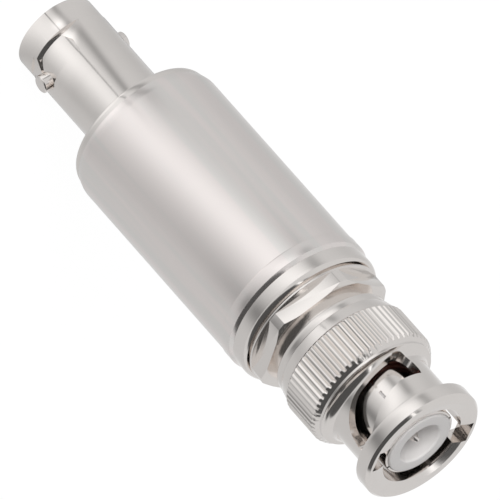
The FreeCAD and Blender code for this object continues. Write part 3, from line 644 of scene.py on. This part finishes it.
class ATTENUATOR_OT_jack(PieceMaker, bpy.types.Operator):
    """Build the jack's shell and its two studs"""
    bl_idname = "attenuator.jack"
    bl_label = "Jack shell"

    def build(self, scene):
        s = InMillimetres(scene.jack_sizes)
        boss = heights("rear_cap")[0]
        flange = boss - s.flange_height
        stem = heights("jack_body")[1]
        shell = turned([
            (s.bore + 0.15, 0.0, 0.04),
            (s.collar_radius - 0.15, 0.0, 0.05),
            (s.collar_radius, 0.15, 0.05),
            (s.collar_radius, s.collar_length),
            (s.radius, s.collar_length, 0.02),
            (s.radius, flange, 0.05),
            (s.flange_radius, flange, 0.06),
            (s.flange_radius, boss, 0.05),
            (s.stem_radius, boss),
            (s.stem_radius, stem),
            (s.stem_bore, stem),
            (s.stem_bore, s.bore_depth),
            (s.bore, s.bore_depth),
            (s.bore, 0.15),
        ])
        near_side = self.reliefs(scene.jack_sizes, s)
        far_side = [half_turn(tool) for tool in near_side]
        finished("jack_shell", carved(shell, near_side + far_side), "jack_body")
        for name, turn in (("near", 0.0), ("far", math.pi)):
            self.stud(name, scene.jack_sizes.stud_angle + turn, s)

    def reliefs(self, sizes, s):
        """What is cut beside one stud: a sunk band, a slanted flat and the stud's foot."""
        floor = s.radius - s.relief_depth
        over = s.radius + s.relief_depth
        bottom = s.collar_length
        top = bottom + s.relief_length
        rise = s.collar_radius - floor
        ring = turned([(floor, bottom + rise), (s.collar_radius + 0.01, bottom - 0.01),
                       (over, bottom - 0.01), (over, top), (floor, top)])
        outline = [((sizes.stud_angle - math.radians(back)) * s.radius,
                    bottom + share_up * s.relief_length) for back, share_up in RELIEF_EDGE]
        wall = wrapped(outline, s.radius, floor - CUT_PAST, over + CUT_PAST)
        band = carved(ring, [wall], "INTERSECT")
        flat = block((s.radius - s.flat_depth, -s.radius, bottom - 0.005),
                     (s.radius, 2 * s.radius, s.relief_length))
        for vert in flat.verts:
            if vert.co.z > bottom + 1.0 and vert.co.x < s.radius:
                vert.co.x = s.radius + 0.02
        turn_round(flat, sizes.stud_angle - sizes.flat_angle)
        foot = block((s.radius - s.foot_depth, -s.radius, s.stud_height - s.foot_reach),
                     (s.radius, 2 * s.radius, s.foot_reach), sizes.stud_angle)
        return [band, flat, foot]

    def stud(self, name, turn, s):
        post = turned([
            (0.0, s.bore + PLAY),
            (s.stud_radius, s.bore + PLAY),
            (s.stud_radius, s.stud_reach - 0.12, 0.05),
            (s.stud_radius - 0.15, s.stud_reach, 0.05),
            (0.0, s.stud_reach),
        ], steps=64)
        outward = Vector((math.cos(turn), math.sin(turn), 0.0)).to_track_quat("Z", "Y")
        bmesh.ops.rotate(post, verts=post.verts, cent=(0, 0, 0), matrix=outward.to_matrix())
        bmesh.ops.translate(post, verts=post.verts, vec=(0.0, 0.0, s.stud_height))
        finished(name + "_stud", post, "jack_stud_" + name)


class ATTENUATOR_OT_jack_core(PieceMaker, bpy.types.Operator):
    """Build the jack's insulator and its slit contact"""
    bl_idname = "attenuator.jack_core"
    bl_label = "Jack core"

    def build(self, scene):
        s = InMillimetres(scene.jack_sizes)
        nose, stem = heights("jack_insulator")
        contact, tail = heights("jack_socket")
        contact_top = contact + s.contact_length
        hole = s.contact_radius + PLAY
        insulator = turned([
            (hole, nose),
            (s.nose_radius - 0.15, nose, 0.06),
            (s.nose_radius, nose + 0.15, 0.06),
            (s.nose_radius, s.bore_depth),
            (s.stem_bore - PLAY, s.bore_depth),
            (s.stem_bore - PLAY, stem),
            (s.contact_bore, stem),
            (s.contact_bore, contact_top),
            (hole, contact_top),
        ])
        finished("jack_white", insulator, "jack_insulator", "white_insulator")
        pin = s.contact_bore - PLAY
        bottom = contact + s.contact_depth
        socket = turned([
            (s.contact_bore, contact, 0.05),
            (s.contact_radius, contact, 0.05),
            (s.contact_radius, contact_top),
            (pin, contact_top),
            (pin, tail),
            (0.0, tail),
            (0.0, bottom),
            (s.contact_bore, bottom),
        ], steps=96)
        slits = crossed_slits(s.slit_width, s.contact_radius + CUT_PAST,
                              contact - CUT_PAST, s.slit_length + CUT_PAST, 0.0)
        finished("jack_contact", carved(socket, slits), "jack_socket", "contact_gold")


def crossed_slits(slit, reach, bottom, height, turn):
    """Two thin blocks across the axis, at right angles."""
    return [block((-reach, -slit / 2, bottom), (2 * reach, slit, height), turn + quarter)
            for quarter in (0.0, math.pi / 2)]


class ATTENUATOR_OT_plug(PieceMaker, bpy.types.Operator):
    """Build the plug's shell with its hexagon"""
    bl_idname = "attenuator.plug"
    bl_label = "Plug shell"

    def build(self, scene):
        s = InMillimetres(scene.plug_sizes)
        stem, land = heights("plug_body")
        face = heights("front_cap")[1]
        ring = face + s.seam_height
        hexagon = ring + s.ring_height
        top = hexagon + s.hex_height
        nut = heights("nut_back_ring")[0]
        groove = nut + s.groove_start
        groove_top = groove + s.groove_width
        bore = scene.jack_sizes.stem_bore / MM
        seat = s.tube_radius + PLAY
        root = heights("plug_ferrule")[0]
        shell = turned([
            (bore, stem),
            (s.stem_radius, stem),
            (s.stem_radius, face),
            (s.seam_radius, face),
            (s.seam_radius, ring),
            (s.ring_radius, ring, 0.05),
            (s.ring_radius, hexagon, 0.05),
            (s.hex_radius, hexagon),
            (s.hex_radius, top - 0.3, 0.06),
            (s.hex_radius - 0.6, top, 0.06),
            (s.stop_radius, top),
            (s.stop_radius, nut - PLAY, 0.05),
            (s.neck_radius, nut - PLAY),
            (s.neck_radius, groove),
            (s.groove_radius, groove),
            (s.groove_radius, groove_top),
            (s.land_radius, groove_top),
            (s.land_radius, land, 0.05),
            (seat, land),
            (seat, root),
            (bore, root),
        ], steps=240)
        flats = self.flats(s, hexagon, top, scene.plug_sizes.hex_angle)
        finished("plug_shell", carved(shell, [flats]), "plug_body")

    def flats(self, s, bottom, top, turn):
        """A wall with a hexagonal hole."""
        bm = bmesh.new()
        inner = s.hex_width / math.sqrt(3)
        for radius in (inner, inner * 1.5):
            bmesh.ops.create_circle(bm, segments=6, radius=radius, cap_ends=False)
        bmesh.ops.bridge_loops(bm, edges=bm.edges[:])
        grow(bm, bm.faces[:], (0.0, 0.0, top + CUT_PAST - bottom))
        flat = math.atan2(*reversed(min(bm.verts, key=lambda v: v.co.length).co.xy))
        turn_round(bm, turn - flat)
        bmesh.ops.translate(bm, verts=bm.verts, vec=(0.0, 0.0, bottom))
        face_outwards(bm)
        return bm


class ATTENUATOR_OT_plug_core(PieceMaker, bpy.types.Operator):
    """Build the plug's spring tube, insulator, pin and seal"""
    bl_idname = "attenuator.plug_core"
    bl_label = "Plug core"

    def build(self, scene):
        s = InMillimetres(scene.plug_sizes)
        jack = InMillimetres(scene.jack_sizes)
        root, tip = heights("plug_ferrule")
        inner = s.tube_radius - s.tube_wall
        tube = turned([
            (inner, root),
            (s.tube_radius, root),
            (s.tube_radius, tip - 0.1, 0.05),
            (s.tube_radius - 0.1, tip, 0.05),
            (inner, tip, 0.05),
        ])
        slits = crossed_slits(s.slit_width, s.tube_radius + CUT_PAST, tip - s.slit_length,
                              s.slit_length + CUT_PAST, scene.plug_sizes.slit_angle)
        finished("plug_spring_tube", carved(tube, slits), "plug_ferrule")
        stem, cup = heights("plug_insulator")
        skirt = inner - PLAY
        insulator = turned([
            (jack.contact_bore, stem),
            (jack.stem_bore - PLAY, stem),
            (jack.stem_bore - PLAY, root),
            (skirt, root),
            (skirt, cup - 0.1, 0.08),
            (skirt - 0.1, cup, 0.08),
            (s.cup_radius + 0.15, cup, 0.08),
            (s.cup_radius, cup - 0.15, 0.08),
            (s.cup_radius, cup - s.cup_depth, 0.15),
            (jack.contact_bore, cup - s.cup_depth),
        ])
        finished("plug_white", insulator, "plug_insulator", "white_insulator")
        foot, point = heights("plug_pin")
        pin = turned([
            (0.0, foot),
            (s.pin_radius, foot),
            (s.pin_radius, point - s.pin_point, 0.15),
            (0.24, point - 0.14, 0.1),
            (0.0, point),
        ], steps=64)
        finished("plug_contact", pin, "plug_pin")
        seat, seal_top = heights("plug_gasket")
        rim = reach_of("plug_gasket")
        seal = turned([
            (s.tube_radius + PLAY, seat),
            (rim, seat, 0.1),
            (rim, seal_top, 0.2),
            (s.tube_radius + PLAY, seal_top, 0.08),
        ])
        finished("seal_ring", seal, "plug_gasket", "red_silicone")


# Slot in the sleeve: degrees clockwise and millimetres back from the flange's face
SLOT_FRONT = ((-33.2, 2.49), (-29.8, 2.64), (4.6, 4.28), (28.4, 4.95))
SLOT_LOCK = ((57.3, 5.0), (58.6, 5.7), (57.0, 6.94), (50.0, 7.85), (42.5, 8.0))
SLOT_BACK = ((42.5, 8.0), (22.8, 7.66), (0.9, 7.28), (-22.8, 6.78), (-49.7, 5.16),
             (-58.8, 3.4))
# Radii between which a slot is cut
SLOT_WALL = (4.6, 7.64)
# One rib of the grip: arc lengths from its groove's root, and heights over that root
RIB = ((0.0, 0.0), (0.125, 0.135), (0.23, 0.245), (0.27, 0.266))


class ATTENUATOR_OT_nut(PieceMaker, bpy.types.Operator):
    """Build the knurled coupling nut with its slots and channels"""
    bl_idname = "attenuator.nut"
    bl_label = "Coupling nut"

    def build(self, scene):
        s = InMillimetres(scene.nut_sizes)
        bottom, front = heights("coupling_nut")
        grip_low = front - s.grip_end
        taper = (s.band_radius - s.band_end_radius) / (grip_low - bottom)
        shoulder = front - s.shoulder_depth
        flange = front - s.flange_height
        nut = turned([
            (s.cavity_radius, bottom),
            (s.band_end_radius, bottom, 0.06),
            (s.band_radius - taper * 0.06, grip_low - 0.06),
            (s.band_radius, grip_low),
            (s.band_radius + 0.02, grip_low + 0.02),
            (s.grip_radius, grip_low + 0.18, 0.05),
            (s.grip_radius, front - s.grip_start, 0.05),
            (s.shoulder_radius, shoulder),
            (s.ridge_radius + 0.02, shoulder + 0.3, 0.05),
            (s.ridge_radius, front - s.sleeve_end - 0.05, 0.05),
            (s.sleeve_radius, front - s.sleeve_end, s.sleeve_fillet),
            (s.sleeve_radius, flange, 0.05),
            (s.flange_radius, flange, 0.08),
            (s.flange_radius, front - s.flange_edge, 0.04),
            (s.flange_radius - s.flange_edge, front, 0.04),
            (s.mouth_radius, front, 0.05),
            (s.sleeve_bore, front - s.mouth_depth),
            (s.sleeve_bore, bottom + s.cavity_depth),
            (s.cavity_radius, bottom + s.cavity_depth),
        ], steps=scene.nut_sizes.rib_count * 8)
        self.knurl(nut, s, scene.nut_sizes.rib_count, grip_low, shoulder)
        slot = self.slot(s, front)
        reach = s.channel_radius
        channels = block((-reach, -s.channel_width / 2, flange - s.channel_width / 2),
                         (2 * reach, s.channel_width, s.flange_height + s.channel_width),
                         scene.nut_sizes.twist - scene.nut_sizes.lock_angle)
        nut = carved(nut, [slot, half_turn(slot), channels])
        finished("bayonet_nut", nut, "coupling_nut", body="nut")

    def knurl(self, bm, s, count, bottom, top):
        """Press the grooves into the grip, eight columns of points to a rib."""
        pitch = FULL_TURN / count
        root = s.grip_radius - s.rib_depth
        steps = RIB + ((pitch * s.grip_radius / 2, s.rib_depth),)
        steps += tuple((pitch * s.grip_radius - arc, rise) for arc, rise in RIB[:0:-1])
        for vert in bm.verts:
            turn = math.atan2(vert.co.y, vert.co.x) % FULL_TURN
            column = round(turn / (pitch / 8))
            arc, rise = steps[column % 8]
            radius = vert.co.xy.length
            if bottom + 0.01 < vert.co.z < top + 0.01:
                radius = min(radius, root + rise)
            moved = (column // 8) * pitch + arc / s.grip_radius
            vert.co.x = radius * math.cos(moved)
            vert.co.y = radius * math.sin(moved)

    def slot(self, s, front):
        def unrolled(points):
            return [(-math.radians(turn) * s.sleeve_radius, front - depth)
                    for turn, depth in points]

        outline = smooth_run(unrolled(SLOT_FRONT))
        outline += smooth_run(unrolled(SLOT_LOCK))
        outline += smooth_run(unrolled(SLOT_BACK))[1:]
        mouth = s.flange_height
        outline += unrolled(((SLOT_BACK[-1][0], mouth), (SLOT_FRONT[0][0], mouth)))
        return wrapped(outline, s.sleeve_radius, *SLOT_WALL)


class ATTENUATOR_OT_nut_ring(PieceMaker, bpy.types.Operator):
    """Build the ring in the open end of the coupling nut"""
    bl_idname = "attenuator.nut_ring"
    bl_label = "Back ring"

    def build(self, scene):
        s = InMillimetres(scene.nut_sizes)
        bottom, spigot_top = heights("nut_back_ring")
        seat = heights("coupling_nut")[0]
        ring = turned([
            (s.ring_bore, bottom),
            (s.ring_radius, bottom, 0.1),
            (s.ring_radius, seat, 0.1),
            (s.cavity_radius - PLAY, seat),
            (s.cavity_radius - PLAY, spigot_top),
            (s.ring_bore, spigot_top),
        ])
        finished("back_ring", ring, "nut_back_ring", body="nut")


class ATTENUATOR_OT_wave_spring(PieceMaker, bpy.types.Operator):
    """Build the wave washer"""
    bl_idname = "attenuator.wave_spring"
    bl_label = "Wave washer"

    def build(self, scene):
        s = InMillimetres(scene.nut_sizes)
        bottom, top = heights("wave_washer")
        swing = (top - bottom - s.wave_metal) / 2
        radius = reach_of("wave_washer")
        ring = turned([(s.ring_bore, 0.0), (radius, 0.0), (radius, s.wave_metal),
                       (s.ring_bore, s.wave_metal)])
        for vert in ring.verts:
            turn = math.atan2(vert.co.y, vert.co.x)
            vert.co.z += bottom + swing * (1.0 + math.cos(turn * scene.nut_sizes.wave_count))
        spring = finished("wave_spring", ring, "wave_washer", "spring_steel")
        free = top - bottom
        (free - s.slide) / free
        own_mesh(spring)


HIDDEN_PARTS = {
    "plug_nut": "bright_nickel", "jack_nut": "bright_nickel", "thrust_washer": "spring_steel",
    "retaining_ring": "spring_steel", "series_rod": "ceramic", "rear_shunt_disc": "ceramic",
    "front_shunt_disc": "ceramic", "rear_contact_cup": "brass", "front_contact_cup": "brass",
    "ground_sleeve": "brass",
}


class ATTENUATOR_OT_inner_parts(PieceMaker, bpy.types.Operator):
    """Give the parts inside the housing and the nut their finishes"""
    bl_idname = "attenuator.inner_parts"
    bl_label = "Inner parts"

    def build(self, scene):
        for name, slot in HIDDEN_PARTS.items():
            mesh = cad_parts[name].data
            mesh.materials.clear()
            mesh.materials.append(finish(slot))


# ---- stage
def sees_studio(board):
    """One for camera, mirror and glass rays, and the mirror rays alone."""
    camera, mirror, glass = [board.node("ShaderNodeLightPath", output=name) for name in
                             ("Is Camera Ray", "Is Glossy Ray", "Is Transmission Ray")]
    return camera.math("MAXIMUM", mirror).math("MAXIMUM", glass), mirror


# Humps of light on the floor, seen only in mirrors as painted reflections: degrees round the
# part, half width and strength
MAIN_BANDS = ((60.0, 18.0, -0.08), (-64.0, 30.0, 0.06))
BARREL_SHADE_LINES = ((-5.5, 0.65, 0.75), (-19.0, 5.0, 0.32))
SLEEVE_SHADE_DIPS = ((50.0, 18.0, 0.34), (-54.0, 10.0, 0.34))
FLOOR_LEVEL = 0.585
WHITE_FLOOR = 1.08
# Share of the floor that glows; the rest takes the part's shadow
OWN_LIGHT = 0.86
WHITE_SKY = 1.05


def humps(value, shapes):
    """The sum of several humps over a value."""
    return sum(value.bump_at(centre, half) * strength for centre, half, strength in shapes)


def floor_look(board):
    """A pale floor; shiny parts see soft bands of light on it, round the part."""
    studio, mirror = sees_studio(board)
    x, y, _ = board.axes(board.place())
    # Degrees round the part, and millimetres from its axis
    turn = y.math("ARCTAN2", x) * (180.0 / math.pi)
    away = (x * x + y * y).math("SQRT") / MM
    near = board.fade(away, 46.0, 34.0)
    far = board.fade(away, 84.0, 100.0)
    side = turn + (away * 0.3 - 14.0).math("MINIMUM", 22.0)
    seen_from = turn / (2.0 - (away.math("MAXIMUM", 5.0) / 4.8).math("POWER", -1.0))
    # Painted highlights: a bright hump that the jack's facet reflects, a faint one that the
    # sunk reliefs reflect, and a bright patch behind the part
    facet_highlight = away.bump_at(8.7, 1.7) * turn.bump_at(-14.5, 12.0) * 0.6
    sunk = board.fade(away, 9.8, 11.2) * board.fade(away, 17.8, 17.4)
    sunk = sunk * turn.bump_at(32.0, 34.0) * 0.17
    behind = turn.math("ABSOLUTE").bump_at(180.0, 26.0) * 0.36
    behind = behind - turn.bump_at(-112.0, 20.0) * 0.04
    bands = side.bump_at(0.0, 27.0) * (far * 0.12 + 0.42) + humps(side, MAIN_BANDS)
    bands = bands + behind + facet_highlight + sunk + FLOOR_LEVEL
    # Painted shade in the reflections: dark lines on the jack's barrel and dark dips on the
    # nut's sleeve
    bands = bands - near * humps(seen_from, BARREL_SHADE_LINES) - far * humps(turn, SLEEVE_SHADE_DIPS)
    glow = board.blend(mirror, WHITE_FLOOR, bands, "FLOAT")
    light = board.node("ShaderNodeEmission", None, {"Color": glow, "Strength": 1.0})
    paint = board.node("ShaderNodeBsdfDiffuse", None, {"Color": (0.9, 0.9, 0.9, 1.0)})
    return board.node("ShaderNodeMixShader", None, {0: studio * OWN_LIGHT, 1: paint, 2: light})


# Directions in the mirrored sky: two dark parts, and the line across a bright gap in them
DARK_SIDE = (0.35, 0.45, 0.82)
DARK_BACK = (-0.45, 0.25, 0.86)
ACROSS_GAP = (0.208, 0.956, 0.206)
SKY_LEVEL = 0.68
DARKNESS = 0.6
GAP_LIGHT = 1.6


def world_look(board, fill):
    """White to the camera, an even light, and a dark ceiling in what shiny parts see."""
    studio, mirror = sees_studio(board)
    point = board.node("ShaderNodeTexCoord", output="Generated")

    def facing(direction):
        return board.node("ShaderNodeVectorMath", {"operation": "DOT_PRODUCT"},
                          {0: point, 1: direction}, "Value")

    dark = board.fade(facing(DARK_SIDE), 0.6, 0.7)
    dark = dark.math("MAXIMUM", board.fade(facing(DARK_BACK), 0.93, 0.96))
    gap = facing(ACROSS_GAP).bump_at(0.0, 0.04)
    seen = SKY_LEVEL - dark * DARKNESS + dark * gap * GAP_LIGHT
    overhead = board.fade(facing((0.0, 0.0, 1.0)), 0.5, 0.8)
    bright = board.blend(mirror, WHITE_SKY, seen, "FLOAT")
    glow = board.blend(studio, (1.0 - overhead * 0.95) * fill, bright, "FLOAT")
    return board.node("ShaderNodeBackground", None, {"Color": glow, "Strength": 1.0})


# Lamps: share of the key's strength, where they stand and their spread in degrees
LAMPS = {"key": (1.0, (1.1, -0.2, 0.5), 40.0), "side": (0.2, (0.3, -1.2, 0.8), 70.0)}
# The camera's axes, and its place from the plug's face along right, up and back, in metres
CAMERA_RIGHT = (-0.30216, -0.74868, 0.59003)
CAMERA_UP = (0.34126, -0.66290, -0.66638)
CAMERA_PLACE = (-0.017859, 0.020317, 1.615104)


class ATTENUATOR_OT_stage(PieceMaker, bpy.types.Operator):
    """Lay the floor and set the lights and the camera"""
    bl_idname = "attenuator.stage"
    bl_label = "Studio"

    def build(self, scene):
        studio = scene.studio
        bm = bmesh.new()
        bmesh.ops.create_circle(bm, segments=64, radius=studio.floor_radius, cap_ends=True)
        floor = plain_object("floor", bm)
        floor.data.materials.append(build_board("floor_paint", floor_look))
        world = bpy.data.worlds.new("studio")
        world.use_nodes = True
        board = Board(world.node_tree)
        board.node("ShaderNodeOutputWorld", None,
                   {"Surface": world_look(board, studio.fill_strength)})
        scene.world = world
        for name, (part, towards, spread) in LAMPS.items():
            self.lamp(name, studio.key_strength * part, towards, spread)
        self.camera(scene, studio.lens)
        scene.view_settings.view_transform = "Standard"

    def lamp(self, name, strength, towards, spread):
        light = bpy.data.lights.new(name, "SUN")
        light.energy = strength
        light.angle = math.radians(spread)
        lamp = bpy.data.objects.new(name, light)
        lamp.rotation_euler = Vector(towards).to_track_quat("Z", "Y").to_euler()
        lamp.visible_glossy = False
        bpy.context.scene.collection.objects.link(lamp)

    def camera(self, scene, lens):
        data = bpy.data.cameras.new("camera")
        data.sensor_width = 36.0
        data.lens = lens
        camera = bpy.data.objects.new("camera", data)
        right, up = Vector(CAMERA_RIGHT), Vector(CAMERA_UP)
        back = right.cross(up)
        place = Vector((0.0, 0.0, heights("coupling_nut")[1] * MM))
        for axis, distance in zip((right, up, back), CAMERA_PLACE):
            place = place + distance * axis
        turn = Matrix((right, up, back)).transposed().to_4x4()
        camera.matrix_world = Matrix.Translation(place) @ turn
        scene.collection.objects.link(camera)
        scene.camera = camera


STEPS = (
    ATTENUATOR_OT_tube, ATTENUATOR_OT_caps, ATTENUATOR_OT_jack, ATTENUATOR_OT_jack_core,
    ATTENUATOR_OT_plug, ATTENUATOR_OT_plug_core, ATTENUATOR_OT_nut, ATTENUATOR_OT_nut_ring,
    ATTENUATOR_OT_wave_spring, ATTENUATOR_OT_inner_parts, ATTENUATOR_OT_stage,
)


class ATTENUATOR_PT_builder(bpy.types.Panel):
    """Lists the steps that build the attenuator"""
    bl_idname = "ATTENUATOR_PT_builder"
    bl_label = "Attenuator"
    bl_space_type = "VIEW_3D"
    bl_region_type = "UI"
    bl_category = "Attenuator"

    def draw(self, context):
        for step in STEPS:
            self.layout.operator(step.bl_idname)
        for name in GROUPS:
            box = self.layout.box()
            box.label(text=name.replace("_", " ").capitalize())
            group = getattr(context.scene, name)
            for size in group.__annotations__:
                box.prop(group, size)


def register():
    for name, group in GROUPS.items():
        bpy.utils.register_class(group)
        setattr(bpy.types.Scene, name, PointerProperty(type=group))
    for step in STEPS + (ATTENUATOR_PT_builder,):
        bpy.utils.register_class(step)


def unregister():
    for step in (ATTENUATOR_PT_builder,) + STEPS[::-1]:
        bpy.utils.unregister_class(step)
    for name, group in GROUPS.items():
        delattr(bpy.types.Scene, name)
        bpy.utils.unregister_class(group)


def main():
    register()
    for step in STEPS:
        family, name = step.bl_idname.split(".")
        getattr(getattr(bpy.ops, family), name)()


if __name__ == "__main__":
    main()
